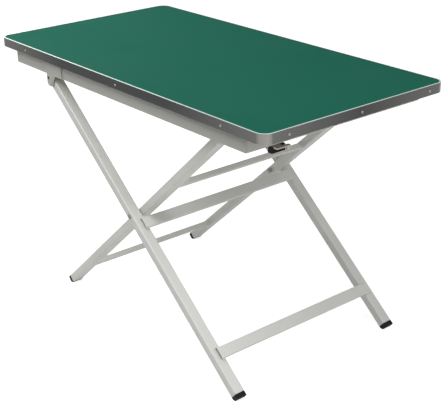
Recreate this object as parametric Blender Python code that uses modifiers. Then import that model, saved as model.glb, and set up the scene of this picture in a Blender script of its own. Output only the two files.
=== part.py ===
"""A folding grooming table: a rubber-covered top on two crossed pairs of square-tube legs.

Metres, +Z up, +X along the table, -Y the near long side. The origin is on the floor, under the
middle of the top. The table stands open, with the inner legs' tops resting under the board.
"""
import math

import bmesh
import bpy
from mathutils import Matrix, Vector

# Fits
SEAT_GAP = 0.0003
HOLE_CLEARANCE = 0.0003

# Table top
TOP_LENGTH = 1.200
TOP_WIDTH = 0.614
TOP_HEIGHT = 0.762
CORNER_RADIUS = 0.030
TRIM_HEIGHT = 0.0264
TRIM_WALL = 0.0020
TRIM_TOP_LIP = 0.0040
TRIM_BOTTOM_LIP = 0.0100
MAT_THICKNESS = 0.0040
MAT_RISE_INSIDE_LIP = 0.0010

# Tube frame under the top
FRAME_END_INSET = 0.0750
FRAME_SIDE_INSET = 0.0125
RAIL_HEIGHT = 0.0390
RAIL_WIDTH = 0.0250
TUBE_WALL = 0.0015

# Legs, seen from the near side: the outer pair leans down to the right, the inner pair to the left
PIVOT_FROM_FRAME_END = 0.190
PIVOT_BELOW_RAILS = 0.0213
OUTER_FLOOR_FROM_TOP_END = 0.1224
INNER_TOP_FROM_FRAME_END = 0.0882
CROSSING_DISTANCE = 0.472
OUTER_LEG_WIDTH = 0.0315
OUTER_LEG_DEPTH = 0.0260
INNER_LEG_WIDTH = 0.0360
INNER_LEG_DEPTH = 0.0240
LEG_SIDE_GAP = 0.0020
LEG_CORNER_RADIUS = 0.0040
OUTER_LEG_OVERHANG = 0.0120

# Cross bars, placed along their legs
OUTER_BAR_WIDTH = 0.0330
OUTER_BAR_DEPTH = 0.0100
STOP_BAR_TO_INNER_LEGS = 0.0080
OUTER_LOW_BAR_FROM_FLOOR = 0.1315
INNER_BAR_SIZE = 0.0160
INNER_UPPER_BAR_FROM_CROSSING = 0.168
INNER_LOW_BAR_FROM_FLOOR = 0.1286
BAR_CORNER_RADIUS = 0.0020

# Plastic plugs in the tube ends; the heel is a foot's shortest side, where the floor cuts it
OUTER_FOOT_HEEL = 0.0030
OUTER_FOOT_LENGTH = 0.0130
INNER_FOOT_HEEL = 0.0018
INNER_FOOT_LENGTH = 0.0080
TOP_PLUG_LENGTH = 0.0030
FOOT_STUB_LENGTH = 0.0200
TOP_PLUG_STUB_LENGTH = 0.0060

# Pivot brackets, given round the pivot and against the rail that they are fixed to
BRACKET_THICKNESS = 0.0030
BRACKET_LEFT = -0.017
BRACKET_RIGHT = 0.063
BRACKET_BOTTOM = -0.012
BRACKET_BELOW_RAIL_TOP = 0.0023
BRACKET_SHELF_ABOVE_RAIL_BOTTOM = 0.0007
BRACKET_TAB_TOP_RIGHT = 0.024
BRACKET_TAB_BOTTOM_RIGHT = 0.009
BRACKET_CORNER_RADIUS = 0.0100
BRACKET_HOLE_RADIUS = 0.0030
BRACKET_HOLE_X = -0.010
BRACKET_HOLE_Z = 0.011

# Pins, bolts and their washers
BOLT_RADIUS = 0.0040
BOLT_HEAD_RADIUS = 0.0075
BOLT_HEAD_HEIGHT = 0.0040
WASHER_RADIUS = 0.0090
WASHER_THICKNESS = 0.0012
NUT_SIDES = 6
NUT_RADIUS = 0.0075
NUT_THICKNESS = 0.0060
BOLT_PAST_NUT = 0.0015

# Spring catch under the right end rail; its tongue is given from the middle of its block
CATCH_LENGTH = 0.0140
CATCH_WIDTH = 0.0420
CATCH_HEIGHT = 0.0170
CATCH_FROM_FRAME_END = 0.0005
CATCH_FROM_FRAME_SIDE = 0.0940
TONGUE_THICKNESS = 0.0027
TONGUE_TO_LEFT = 0.0185
TONGUE_TO_RIGHT = 0.0230
TONGUE_TO_NEAR = 0.0185
TONGUE_TO_FAR = 0.0060
EAR_WIDTH = 0.0105
EAR_LENGTH = 0.0190
EAR_CORNER_RADIUS = 0.0030
KNOB_RADIUS = 0.0045
KNOB_HEIGHT = 0.0080
KNOB_STEM_RADIUS = 0.0020

# Smoothness of arcs and turned pieces
ARC_STEPS = 4
TOP_ARC_STEPS = 10
ROUND_STEPS = 24
ROUND_PROFILE = 0.5
SHARP_ANGLE = math.radians(35)
MERGE_DISTANCE = 0.00001
SMALLEST_RADIUS = 0.0005

# Finish of each kind of surface: colour, roughness, metallic
FINISHES = {
    "green_rubber": ((0.022, 0.138, 0.098), 0.75, 0.0),
    "board_wood": ((0.62, 0.60, 0.56), 0.60, 0.0),
    "trim_aluminium": ((0.55, 0.56, 0.54), 0.35, 1.0),
    "grey_paint": ((0.42, 0.42, 0.40), 0.45, 0.2),
    "leg_aluminium": ((0.60, 0.61, 0.60), 0.40, 0.8),
    "black_plastic": ((0.012, 0.012, 0.012), 0.55, 0.0),
    "brown_plastic": ((0.022, 0.009, 0.006), 0.50, 0.0),
    "plated_steel": ((0.48, 0.46, 0.45), 0.30, 1.0),
    "dark_steel": ((0.05, 0.05, 0.05), 0.40, 0.8),
}

# Places worked out from the sizes above: the top and the frame under it
TRIM_BOTTOM = TOP_HEIGHT - TRIM_HEIGHT
MAT_TOP = TOP_HEIGHT - TRIM_WALL - SEAT_GAP + MAT_RISE_INSIDE_LIP
BOARD_TOP = MAT_TOP - MAT_THICKNESS - SEAT_GAP
BOARD_BOTTOM = TRIM_BOTTOM + TRIM_WALL + SEAT_GAP
FRAME_LENGTH = TOP_LENGTH - 2 * FRAME_END_INSET
FRAME_WIDTH = TOP_WIDTH - 2 * FRAME_SIDE_INSET
RAIL_TOP = TRIM_BOTTOM - SEAT_GAP
RAIL_BOTTOM = RAIL_TOP - RAIL_HEIGHT

# The legs' lines, seen from the near side, from their pivots to the floor and to the board
PIVOT = Vector((PIVOT_FROM_FRAME_END - FRAME_LENGTH / 2, 0.0, RAIL_BOTTOM - PIVOT_BELOW_RAILS))
OUTER_RUN = Vector((TOP_LENGTH / 2 - OUTER_FLOOR_FROM_TOP_END, 0.0, 0.0)) - PIVOT
OUTER_ANGLE = math.atan2(-OUTER_RUN.z, OUTER_RUN.x)
OUTER_FLOOR_DISTANCE = OUTER_RUN.length
CROSSING = PIVOT + CROSSING_DISTANCE * OUTER_RUN.normalized()
INNER_RUN = Vector((FRAME_LENGTH / 2 - INNER_TOP_FROM_FRAME_END, 0.0, BOARD_BOTTOM - SEAT_GAP)) - CROSSING
INNER_ANGLE = math.atan2(INNER_RUN.z, INNER_RUN.x)
INNER_TOP_DISTANCE = INNER_RUN.length
INNER_FLOOR_DISTANCE = CROSSING.z / math.sin(INNER_ANGLE)
OPEN_ANGLE = OUTER_ANGLE + INNER_ANGLE
OUTER_FOOT_FROM_FLOOR = OUTER_LEG_DEPTH / 2 / math.tan(OUTER_ANGLE) + OUTER_FOOT_HEEL
INNER_FOOT_FROM_FLOOR = INNER_LEG_DEPTH / 2 / math.tan(INNER_ANGLE) + INNER_FOOT_HEEL

# Brackets and legs, side by side from the rails inwards
BRACKET_TOP = PIVOT_BELOW_RAILS + RAIL_HEIGHT - BRACKET_BELOW_RAIL_TOP
BRACKET_SHELF = PIVOT_BELOW_RAILS + BRACKET_SHELF_ABOVE_RAIL_BOTTOM
BRACKET_INNER_FACE = FRAME_WIDTH / 2 + SEAT_GAP
BRACKET_OUTER_FACE = BRACKET_INNER_FACE + BRACKET_THICKNESS
WASHER_GAP = WASHER_THICKNESS + 2 * SEAT_GAP
OUTER_LEG_FACE = BRACKET_INNER_FACE - WASHER_GAP
OUTER_LEG_Y = OUTER_LEG_FACE - OUTER_LEG_WIDTH / 2
OUTER_LEG_INNER_FACE = OUTER_LEG_FACE - OUTER_LEG_WIDTH
INNER_LEG_FACE = OUTER_LEG_INNER_FACE - LEG_SIDE_GAP
INNER_LEG_Y = INNER_LEG_FACE - INNER_LEG_WIDTH / 2
INNER_LEG_INNER_FACE = INNER_LEG_FACE - INNER_LEG_WIDTH

# The middle of the catch
CATCH_X = FRAME_LENGTH / 2 - CATCH_FROM_FRAME_END
CATCH_Y = CATCH_FROM_FRAME_SIDE - FRAME_WIDTH / 2
CATCH_TOP = RAIL_BOTTOM - SEAT_GAP

SIDES = (("near", -1), ("far", 1))
ALONG_LEG = (0.0, math.pi / 2, 0.0)
ALONG_WIDTH = (math.pi / 2, 0.0, 0.0)


# Collections, empties and materials

def clear_scene():
    for item in list(bpy.data.objects):
        bpy.data.objects.remove(item, do_unlink=True)


def new_collection(name):
    collection = bpy.data.collections.new(name)
    bpy.context.scene.collection.children.link(collection)
    return collection


def new_empty(name, location, turn=0.0):
    empty = bpy.data.objects.new(name, None)
    empty.location = location
    empty.rotation_euler = (0.0, turn, 0.0)
    parts.objects.link(empty)
    return empty


def new_material(name, finish):
    color, roughness, metallic = FINISHES[finish]
    material = bpy.data.materials.new(name)
    material.use_nodes = True
    surface = material.node_tree.nodes["Principled BSDF"]
    surface.inputs["Base Color"].default_value = (*color, 1.0)
    surface.inputs["Roughness"].default_value = roughness
    surface.inputs["Metallic"].default_value = metallic
    return material


def add_piece(name, mesh, finish, parent, location, rotation=(0.0, 0.0, 0.0)):
    """Adds one sub-part, with its location and rotation in its parent's frame."""
    mesh.name = name
    mesh.materials.append(new_material(name, finish))
    mesh.shade_smooth()
    mesh.set_sharp_from_angle(angle=SHARP_ANGLE)
    piece = bpy.data.objects.new(name, mesh)
    piece.parent = parent
    piece.location = location
    piece.rotation_euler = rotation
    parts.objects.link(piece)
    return piece


def add_cutter(name, mesh, parent, location, rotation=(0.0, 0.0, 0.0)):
    cutter = bpy.data.objects.new(name, mesh)
    cutter.parent = parent
    cutter.location = location
    cutter.rotation_euler = rotation
    cutter.hide_render = True
    cutter.display_type = "WIRE"
    cutters.objects.link(cutter)
    return cutter


def cut(piece, *tools):
    for tool in tools:
        boolean = piece.modifiers.new(tool.name, "BOOLEAN")
        boolean.operation = "DIFFERENCE"
        boolean.solver = "EXACT"
        boolean.object = tool


def drill(leg, label, parent, x, y, leg_width):
    """Cuts a bolt hole across a leg, at x along its frame."""
    rod = rod_mesh(BOLT_RADIUS + HOLE_CLEARANCE, leg_width + 2 * BOLT_RADIUS)
    cut(leg, add_cutter(leg.name + label, rod, parent, (x, y, 0.0), ALONG_WIDTH))


def on_top(x, y, z):
    """A place on the table, in the frame of the top's own pivot."""
    return Vector((x, y, z)) - PIVOT


# Outlines

def arc(center_x, center_y, radius, start, end, steps):
    points = []
    for step in range(steps + 1):
        angle = math.radians(start + (end - start) * step / steps)
        points.append((center_x + radius * math.cos(angle), center_y + radius * math.sin(angle)))
    return points


def circle(radius, center_x=0.0, center_y=0.0):
    return arc(center_x, center_y, radius, 0, 360, ROUND_STEPS)[:-1]


def nut_outline(radius):
    return arc(0.0, 0.0, radius, 0, 360, NUT_SIDES)[:-1]


def rounded_rectangle(width, height, radius, steps=ARC_STEPS):
    right = width / 2 - radius
    upper = height / 2 - radius
    points = arc(right, upper, radius, 0, 90, steps)
    points += arc(-right, upper, radius, 90, 180, steps)
    points += arc(-right, -upper, radius, 180, 270, steps)
    points += arc(right, -upper, radius, 270, 360, steps)
    return points


# Meshes

def outline_mesh(outlines, thickness):
    """A plate with these outlines, the first round the others; its thickness is centred on Z."""
    curve = bpy.data.curves.new("outline", "CURVE")
    curve.dimensions = "2D"
    curve.fill_mode = "BOTH"
    curve.extrude = thickness / 2
    for outline in outlines:
        spline = curve.splines.new("POLY")
        spline.points.add(len(outline) - 1)
        for point, (x, y) in zip(spline.points, outline):
            point.co = (x, y, 0.0, 1.0)
        spline.use_cyclic_u = True
    holder = bpy.data.objects.new("outline", curve)
    parts.objects.link(holder)
    depsgraph = bpy.context.evaluated_depsgraph_get()
    mesh = bpy.data.meshes.new_from_object(holder.evaluated_get(depsgraph))
    bpy.data.objects.remove(holder, do_unlink=True)
    bpy.data.curves.remove(curve)
    shape = bmesh.new()
    shape.from_mesh(mesh)
    bmesh.ops.remove_doubles(shape, verts=shape.verts, dist=MERGE_DISTANCE)
    bmesh.ops.recalc_face_normals(shape, faces=shape.faces)
    shape.to_mesh(mesh)
    shape.free()
    return mesh


def tube_mesh(width, height, radius, wall, length):
    """An open-ended tube of rounded rectangular section, along Z."""
    outside = rounded_rectangle(width, height, radius)
    inside = rounded_rectangle(width - 2 * wall, height - 2 * wall, max(radius - wall, SMALLEST_RADIUS))
    return outline_mesh([outside, inside], length)


def box_mesh(length, width, height):
    mesh = bpy.data.meshes.new("box")
    shape = bmesh.new()
    bmesh.ops.create_cube(shape, size=1.0, matrix=Matrix.Diagonal((length, width, height, 1.0)))
    shape.to_mesh(mesh)
    shape.free()
    return mesh


def rod_mesh(radius, length):
    mesh = bpy.data.meshes.new("rod")
    shape = bmesh.new()
    bmesh.ops.create_cone(shape, cap_ends=True, segments=ROUND_STEPS, radius1=radius, radius2=radius,
                          depth=length)
    shape.to_mesh(mesh)
    shape.free()
    return mesh


def profile_mesh(profile):
    """An open profile in the XZ plane, to be turned about Z."""
    mesh = bpy.data.meshes.new("profile")
    points = [(x, 0.0, z) for x, z in profile]
    lines = [(index, index + 1) for index in range(len(profile) - 1)]
    mesh.from_pydata(points, lines, [])
    return mesh


def turn(piece):
    screw = piece.modifiers.new("turn", "SCREW")
    screw.axis = "Z"
    screw.steps = ROUND_STEPS
    screw.render_steps = ROUND_STEPS
    screw.use_merge_vertices = True
    screw.merge_threshold = MERGE_DISTANCE


def plug_mesh(width, depth, length, stub_length, cut_point=None, cut_normal=None):
    """A tube plug along X: its head is as large as the tube, and its stub goes back into it.

    The head starts at x = 0. What lies beyond the cutting plane, along its normal, is cut off.
    """
    shape = bmesh.new()
    size = Matrix.Diagonal((length, width, depth, 1.0))
    bmesh.ops.create_cube(shape, size=1.0, matrix=Matrix.Translation((length / 2, 0.0, 0.0)) @ size)
    long_edges = [edge for edge in shape.edges if abs(edge.verts[0].co.x - edge.verts[1].co.x) > length / 2]
    bmesh.ops.bevel(shape, geom=long_edges, offset=LEG_CORNER_RADIUS, segments=ARC_STEPS,
                    profile=ROUND_PROFILE, affect="EDGES")
    back = min(shape.faces, key=lambda face: face.calc_center_median().x)
    bmesh.ops.inset_region(shape, faces=[back], thickness=TUBE_WALL + SEAT_GAP, use_even_offset=True)
    stub = bmesh.ops.extrude_discrete_faces(shape, faces=[back])["faces"][0]
    bmesh.ops.translate(shape, verts=stub.verts, vec=(-stub_length, 0.0, 0.0))
    if cut_point is not None:
        everything = shape.verts[:] + shape.edges[:] + shape.faces[:]
        bmesh.ops.bisect_plane(shape, geom=everything, plane_co=cut_point, plane_no=cut_normal,
                               clear_outer=True)
        rim = [edge for edge in shape.edges if edge.is_boundary]
        bmesh.ops.contextual_create(shape, geom=rim)
    bmesh.ops.recalc_face_normals(shape, faces=shape.faces)
    mesh = bpy.data.meshes.new("plug")
    shape.to_mesh(mesh)
    shape.free()
    return mesh


# The top: board, rubber mat and aluminium edge trim

def top_outline(inset):
    return rounded_rectangle(TOP_LENGTH - 2 * inset, TOP_WIDTH - 2 * inset, CORNER_RADIUS - inset,
                             TOP_ARC_STEPS)


def make_top():
    cover_inset = TRIM_WALL + SEAT_GAP
    board = outline_mesh([top_outline(cover_inset)], BOARD_TOP - BOARD_BOTTOM)
    add_piece("table_board", board, "board_wood", top, on_top(0.0, 0.0, (BOARD_TOP + BOARD_BOTTOM) / 2))
    mat_mesh = outline_mesh([top_outline(cover_inset)], MAT_THICKNESS)
    mat_middle = MAT_TOP - MAT_THICKNESS / 2
    mat = add_piece("rubber_mat", mat_mesh, "green_rubber", top, on_top(0.0, 0.0, mat_middle))
    pinched_margin = [top_outline(0.0), top_outline(TRIM_TOP_LIP + SEAT_GAP)]
    pinch_mesh = outline_mesh(pinched_margin, 2 * MAT_RISE_INSIDE_LIP)
    cut(mat, add_cutter("mat_pinch_cutter", pinch_mesh, top, on_top(0.0, 0.0, MAT_TOP)))

    middle = (TOP_HEIGHT + TRIM_BOTTOM) / 2
    trim_mesh = outline_mesh([top_outline(0.0), top_outline(TRIM_BOTTOM_LIP)], TRIM_HEIGHT)
    trim = add_piece("edge_trim", trim_mesh, "trim_aluminium", top, on_top(0.0, 0.0, middle))
    pocket_mesh = outline_mesh([top_outline(TRIM_WALL)], TRIM_HEIGHT - 2 * TRIM_WALL)
    pocket = add_cutter("trim_pocket_cutter", pocket_mesh, top, on_top(0.0, 0.0, middle))
    opening_mesh = outline_mesh([top_outline(TRIM_TOP_LIP)], TRIM_HEIGHT)
    opening = add_cutter("trim_opening_cutter", opening_mesh, top, on_top(0.0, 0.0, TOP_HEIGHT))
    cut(trim, pocket, opening)


# The mitred tube frame under the top

def make_rail(name, length, turned, x, y):
    """A tube with mitred ends; its outer face is its long side, at -Y before it is turned."""
    half = length / 2 - SEAT_GAP
    inner_half = half - RAIL_WIDTH
    outline = [(-half, -RAIL_WIDTH / 2), (half, -RAIL_WIDTH / 2),
               (inner_half, RAIL_WIDTH / 2), (-inner_half, RAIL_WIDTH / 2)]
    place = on_top(x, y, RAIL_TOP - RAIL_HEIGHT / 2)
    rotation = (0.0, 0.0, math.radians(turned))
    rail = add_piece(name, outline_mesh([outline], RAIL_HEIGHT), "grey_paint", top, place, rotation)
    bore_mesh = box_mesh(2 * length, RAIL_WIDTH - 2 * TUBE_WALL, RAIL_HEIGHT - 2 * TUBE_WALL)
    cut(rail, add_cutter(name + "_bore_cutter", bore_mesh, top, place, rotation))


def make_frame():
    rail_y = (FRAME_WIDTH - RAIL_WIDTH) / 2
    rail_x = (FRAME_LENGTH - RAIL_WIDTH) / 2
    make_rail("side_rail_near", FRAME_LENGTH, 0, 0.0, -rail_y)
    make_rail("side_rail_far", FRAME_LENGTH, 180, 0.0, rail_y)
    make_rail("end_rail_right", FRAME_WIDTH, 90, rail_x, 0.0)
    make_rail("end_rail_left", FRAME_WIDTH, -90, -rail_x, 0.0)


# Brackets, pins and washers that hang the outer legs from the frame

def bracket_outline():
    corner_x = BRACKET_LEFT + BRACKET_CORNER_RADIUS
    corner_z = BRACKET_BOTTOM + BRACKET_CORNER_RADIUS
    outline = [(BRACKET_RIGHT, BRACKET_TOP), (BRACKET_LEFT, BRACKET_TOP)]
    outline += arc(corner_x, corner_z, BRACKET_CORNER_RADIUS, 180, 270, ARC_STEPS)
    outline += [(BRACKET_TAB_BOTTOM_RIGHT, BRACKET_BOTTOM), (BRACKET_TAB_TOP_RIGHT, BRACKET_SHELF),
                (BRACKET_RIGHT, BRACKET_SHELF)]
    return outline


def bolt_profile(shank_length):
    """A domed bolt along Z; its head rests at z = 0, with a gap, and its shank goes down from there."""
    profile = []
    for step in range(ARC_STEPS + 1):
        angle = math.radians(90 * (1 - step / ARC_STEPS))
        height = SEAT_GAP + BOLT_HEAD_HEIGHT * math.sin(angle)
        profile.append((BOLT_HEAD_RADIUS * math.cos(angle), height))
    profile[0] = (0.0, SEAT_GAP + BOLT_HEAD_HEIGHT)
    profile += [(BOLT_RADIUS, SEAT_GAP), (BOLT_RADIUS, -shank_length), (0.0, -shank_length)]
    return profile


def facing_out(side):
    return (-side * math.pi / 2, 0.0, 0.0)


def make_brackets():
    pin_hole = circle(BOLT_RADIUS + HOLE_CLEARANCE)
    spare_hole = circle(BRACKET_HOLE_RADIUS, BRACKET_HOLE_X, BRACKET_HOLE_Z)
    pin_length = BRACKET_OUTER_FACE - OUTER_LEG_INNER_FACE - SEAT_GAP
    for label, side in SIDES:
        plate = outline_mesh([bracket_outline(), pin_hole, spare_hole], BRACKET_THICKNESS)
        plate_y = side * (BRACKET_INNER_FACE + BRACKET_THICKNESS / 2)
        add_piece("pivot_bracket_" + label, plate, "grey_paint", top, (0.0, plate_y, 0.0), ALONG_WIDTH)
        pin = add_piece("pivot_pin_" + label, profile_mesh(bolt_profile(pin_length)), "plated_steel", top,
                        (0.0, side * BRACKET_OUTER_FACE, 0.0), facing_out(side))
        turn(pin)
        washer = outline_mesh([circle(WASHER_RADIUS), pin_hole], WASHER_THICKNESS)
        washer_y = side * (OUTER_LEG_FACE + WASHER_GAP / 2)
        add_piece("pivot_washer_" + label, washer, "plated_steel", top, (0.0, washer_y, 0.0), ALONG_WIDTH)


# The spring catch under the right end rail

def make_catch():
    groove = TONGUE_THICKNESS + 2 * SEAT_GAP
    half_width = CATCH_WIDTH / 2
    half_height = CATCH_HEIGHT / 2
    near = -TONGUE_TO_NEAR - SEAT_GAP
    far = TONGUE_TO_FAR + SEAT_GAP
    floor = half_height - groove
    outline = [(-half_width, -half_height), (half_width, -half_height), (half_width, half_height),
               (far, half_height), (far, floor), (near, floor), (near, half_height),
               (-half_width, half_height)]
    block_place = on_top(CATCH_X, CATCH_Y, CATCH_TOP - half_height)
    add_piece("catch_block", outline_mesh([outline], CATCH_LENGTH), "brown_plastic", top, block_place,
              (math.pi / 2, 0.0, math.pi / 2))

    tongue = new_empty("catch_tongue_slide", on_top(CATCH_X, CATCH_Y, CATCH_TOP - groove / 2))
    tongue.parent = top
    right = TONGUE_TO_RIGHT
    ear_left = right - EAR_WIDTH
    ear_far = TONGUE_TO_FAR + EAR_LENGTH
    corner_x = right - EAR_CORNER_RADIUS
    plate = [(-TONGUE_TO_LEFT, -TONGUE_TO_NEAR)]
    plate += arc(corner_x, EAR_CORNER_RADIUS - TONGUE_TO_NEAR, EAR_CORNER_RADIUS, 270, 360, ARC_STEPS)
    plate += arc(corner_x, ear_far - EAR_CORNER_RADIUS, EAR_CORNER_RADIUS, 0, 90, ARC_STEPS)
    plate += [(ear_left, ear_far), (ear_left, TONGUE_TO_FAR), (-TONGUE_TO_LEFT, TONGUE_TO_FAR)]
    knob_x = (ear_left + right) / 2
    knob_y = ear_far - EAR_WIDTH / 2
    stem_hole = circle(KNOB_STEM_RADIUS + HOLE_CLEARANCE, knob_x, knob_y)
    add_piece("catch_tongue", outline_mesh([plate, stem_hole], TONGUE_THICKNESS), "plated_steel", tongue,
              (0.0, 0.0, 0.0))

    shoulder = -TONGUE_THICKNESS / 2 - SEAT_GAP
    knob_end = shoulder - KNOB_HEIGHT
    stem_top = TONGUE_THICKNESS / 2
    knob_profile = [(0.0, stem_top), (KNOB_STEM_RADIUS, stem_top), (KNOB_STEM_RADIUS, shoulder),
                    (KNOB_RADIUS, shoulder), (KNOB_RADIUS, knob_end), (0.0, knob_end)]
    turn(add_piece("catch_knob", profile_mesh(knob_profile), "plated_steel", tongue, (knob_x, knob_y, 0.0)))


# The outer legs: their frame's X runs down the legs and its Z out of their upper faces

def make_outer_legs():
    tube_end = OUTER_FLOOR_DISTANCE - OUTER_FOOT_FROM_FLOOR
    leg_length = tube_end + OUTER_LEG_OVERHANG
    floor_point = Vector((OUTER_FOOT_FROM_FLOOR - SEAT_GAP, 0.0, 0.0))
    floor_normal = Vector((math.sin(OUTER_ANGLE), 0.0, -math.cos(OUTER_ANGLE)))
    for label, side in SIDES:
        leg_y = side * OUTER_LEG_Y
        leg_mesh = tube_mesh(OUTER_LEG_DEPTH, OUTER_LEG_WIDTH, LEG_CORNER_RADIUS, TUBE_WALL, leg_length)
        leg = add_piece("outer_leg_" + label, leg_mesh, "leg_aluminium", outer,
                        (tube_end - leg_length / 2, leg_y, 0.0), ALONG_LEG)
        drill(leg, "_pivot_cutter", outer, 0.0, leg_y, OUTER_LEG_WIDTH)
        drill(leg, "_crossing_cutter", outer, CROSSING_DISTANCE, leg_y, OUTER_LEG_WIDTH)
        foot = plug_mesh(OUTER_LEG_WIDTH, OUTER_LEG_DEPTH, OUTER_FOOT_LENGTH, FOOT_STUB_LENGTH, floor_point,
                         floor_normal)
        add_piece("outer_foot_" + label, foot, "black_plastic", outer, (tube_end + SEAT_GAP, leg_y, 0.0))
        plug = plug_mesh(OUTER_LEG_WIDTH, OUTER_LEG_DEPTH, TOP_PLUG_LENGTH, TOP_PLUG_STUB_LENGTH)
        add_piece("outer_top_plug_" + label, plug, "black_plastic", outer,
                  (-OUTER_LEG_OVERHANG - SEAT_GAP, leg_y, 0.0), (0.0, math.pi, 0.0))

    bar_z = OUTER_LEG_DEPTH / 2 + SEAT_GAP + OUTER_BAR_DEPTH / 2
    bar_top = bar_z + OUTER_BAR_DEPTH / 2
    inner_legs_end = (INNER_LEG_DEPTH / 2 + bar_top * math.cos(OPEN_ANGLE)) / math.sin(OPEN_ANGLE)
    stop_edge = CROSSING_DISTANCE + inner_legs_end + STOP_BAR_TO_INNER_LEGS
    bar_places = (("outer_stop_bar", stop_edge + OUTER_BAR_WIDTH / 2),
                  ("outer_low_bar", OUTER_FLOOR_DISTANCE - OUTER_LOW_BAR_FROM_FLOOR))
    for name, bar_x in bar_places:
        bar = tube_mesh(OUTER_BAR_WIDTH, OUTER_BAR_DEPTH, BAR_CORNER_RADIUS, TUBE_WALL, 2 * OUTER_LEG_Y)
        add_piece(name, bar, "leg_aluminium", outer, (bar_x, 0.0, bar_z), ALONG_WIDTH)


# The bolts, spacers and nuts at the crossing, carried by the outer legs

def make_crossing():
    hole = circle(BOLT_RADIUS + HOLE_CLEARANCE)
    bolt_end = INNER_LEG_INNER_FACE - SEAT_GAP - NUT_THICKNESS - BOLT_PAST_NUT
    for label, side in SIDES:
        bolt_mesh = profile_mesh(bolt_profile(OUTER_LEG_FACE - bolt_end))
        bolt = add_piece("cross_bolt_" + label, bolt_mesh, "dark_steel", outer,
                         (CROSSING_DISTANCE, side * OUTER_LEG_FACE, 0.0), facing_out(side))
        turn(bolt)
        spacer = outline_mesh([circle(WASHER_RADIUS), hole], LEG_SIDE_GAP - 2 * SEAT_GAP)
        spacer_y = side * (INNER_LEG_FACE + LEG_SIDE_GAP / 2)
        add_piece("cross_spacer_" + label, spacer, "black_plastic", outer,
                  (CROSSING_DISTANCE, spacer_y, 0.0), ALONG_WIDTH)
        nut = outline_mesh([nut_outline(NUT_RADIUS), hole], NUT_THICKNESS)
        nut_y = side * (INNER_LEG_INNER_FACE - SEAT_GAP - NUT_THICKNESS / 2)
        add_piece("cross_nut_" + label, nut, "dark_steel", outer,
                  (CROSSING_DISTANCE, nut_y, 0.0), ALONG_WIDTH)


# The inner legs: their frame's X runs up the legs; their bars are set between their inner faces

def make_inner_legs():
    tube_low = -(INNER_FLOOR_DISTANCE - INNER_FOOT_FROM_FLOOR)
    tube_high = INNER_TOP_DISTANCE - INNER_FOOT_FROM_FLOOR
    leg_length = tube_high - tube_low
    flat_point = Vector((INNER_FOOT_FROM_FLOOR - SEAT_GAP, 0.0, 0.0))
    flat_normal = Vector((math.sin(INNER_ANGLE), 0.0, math.cos(INNER_ANGLE)))
    upside_down = (0.0, math.pi, 0.0)
    for label, side in SIDES:
        leg_y = side * INNER_LEG_Y
        leg_mesh = tube_mesh(INNER_LEG_DEPTH, INNER_LEG_WIDTH, LEG_CORNER_RADIUS, TUBE_WALL, leg_length)
        leg = add_piece("inner_leg_" + label, leg_mesh, "leg_aluminium", inner,
                        ((tube_high + tube_low) / 2, leg_y, 0.0), ALONG_LEG)
        drill(leg, "_crossing_cutter", inner, 0.0, leg_y, INNER_LEG_WIDTH)
        cap = plug_mesh(INNER_LEG_WIDTH, INNER_LEG_DEPTH, INNER_FOOT_LENGTH, FOOT_STUB_LENGTH, flat_point,
                        flat_normal)
        add_piece("inner_top_cap_" + label, cap, "black_plastic", inner, (tube_high + SEAT_GAP, leg_y, 0.0))
        foot = plug_mesh(INNER_LEG_WIDTH, INNER_LEG_DEPTH, INNER_FOOT_LENGTH, FOOT_STUB_LENGTH, flat_point,
                         flat_normal)
        add_piece("inner_foot_" + label, foot, "black_plastic", inner, (tube_low - SEAT_GAP, leg_y, 0.0),
                  upside_down)

    bar_length = 2 * (INNER_LEG_INNER_FACE - SEAT_GAP)
    bar_places = (("inner_upper_bar", INNER_UPPER_BAR_FROM_CROSSING),
                  ("inner_low_bar", INNER_LOW_BAR_FROM_FLOOR - INNER_FLOOR_DISTANCE))
    for name, bar_x in bar_places:
        bar = tube_mesh(INNER_BAR_SIZE, INNER_BAR_SIZE, BAR_CORNER_RADIUS, TUBE_WALL, bar_length)
        add_piece(name, bar, "leg_aluminium", inner, (bar_x, 0.0, 0.0), ALONG_WIDTH)


clear_scene()
parts = new_collection("folding_grooming_table")
cutters = new_collection("cutters")
top = new_empty("top_pivot", PIVOT)
outer = new_empty("outer_legs_pivot", PIVOT, OUTER_ANGLE)
inner = new_empty("inner_legs_pivot", CROSSING, -INNER_ANGLE)
make_top()
make_frame()
make_brackets()
make_catch()
make_outer_legs()
make_crossing()
make_inner_legs()
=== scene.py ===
"""Looks of the folding grooming table: finishes, screws, weld beads, plugs and a white studio."""

import math

import bmesh
import bpy
from bpy.props import FloatProperty, FloatVectorProperty, IntProperty, PointerProperty
from mathutils import Matrix, Quaternion, Vector


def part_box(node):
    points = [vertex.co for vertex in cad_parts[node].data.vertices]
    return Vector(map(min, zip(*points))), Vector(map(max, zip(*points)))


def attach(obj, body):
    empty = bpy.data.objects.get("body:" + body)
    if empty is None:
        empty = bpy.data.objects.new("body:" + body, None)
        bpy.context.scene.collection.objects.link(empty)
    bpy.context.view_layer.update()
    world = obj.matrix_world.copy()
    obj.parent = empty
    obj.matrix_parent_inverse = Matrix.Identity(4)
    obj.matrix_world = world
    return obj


bl_info = {
    "name": "Folding Grooming Table",
    "version": (1, 0, 0),
    "blender": (4, 5, 0),
    "location": "View3D > Sidebar > Grooming Table",
    "description": "Finishes, small fasteners and studio for a folding grooming table",
    "category": "Object",
}

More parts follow.
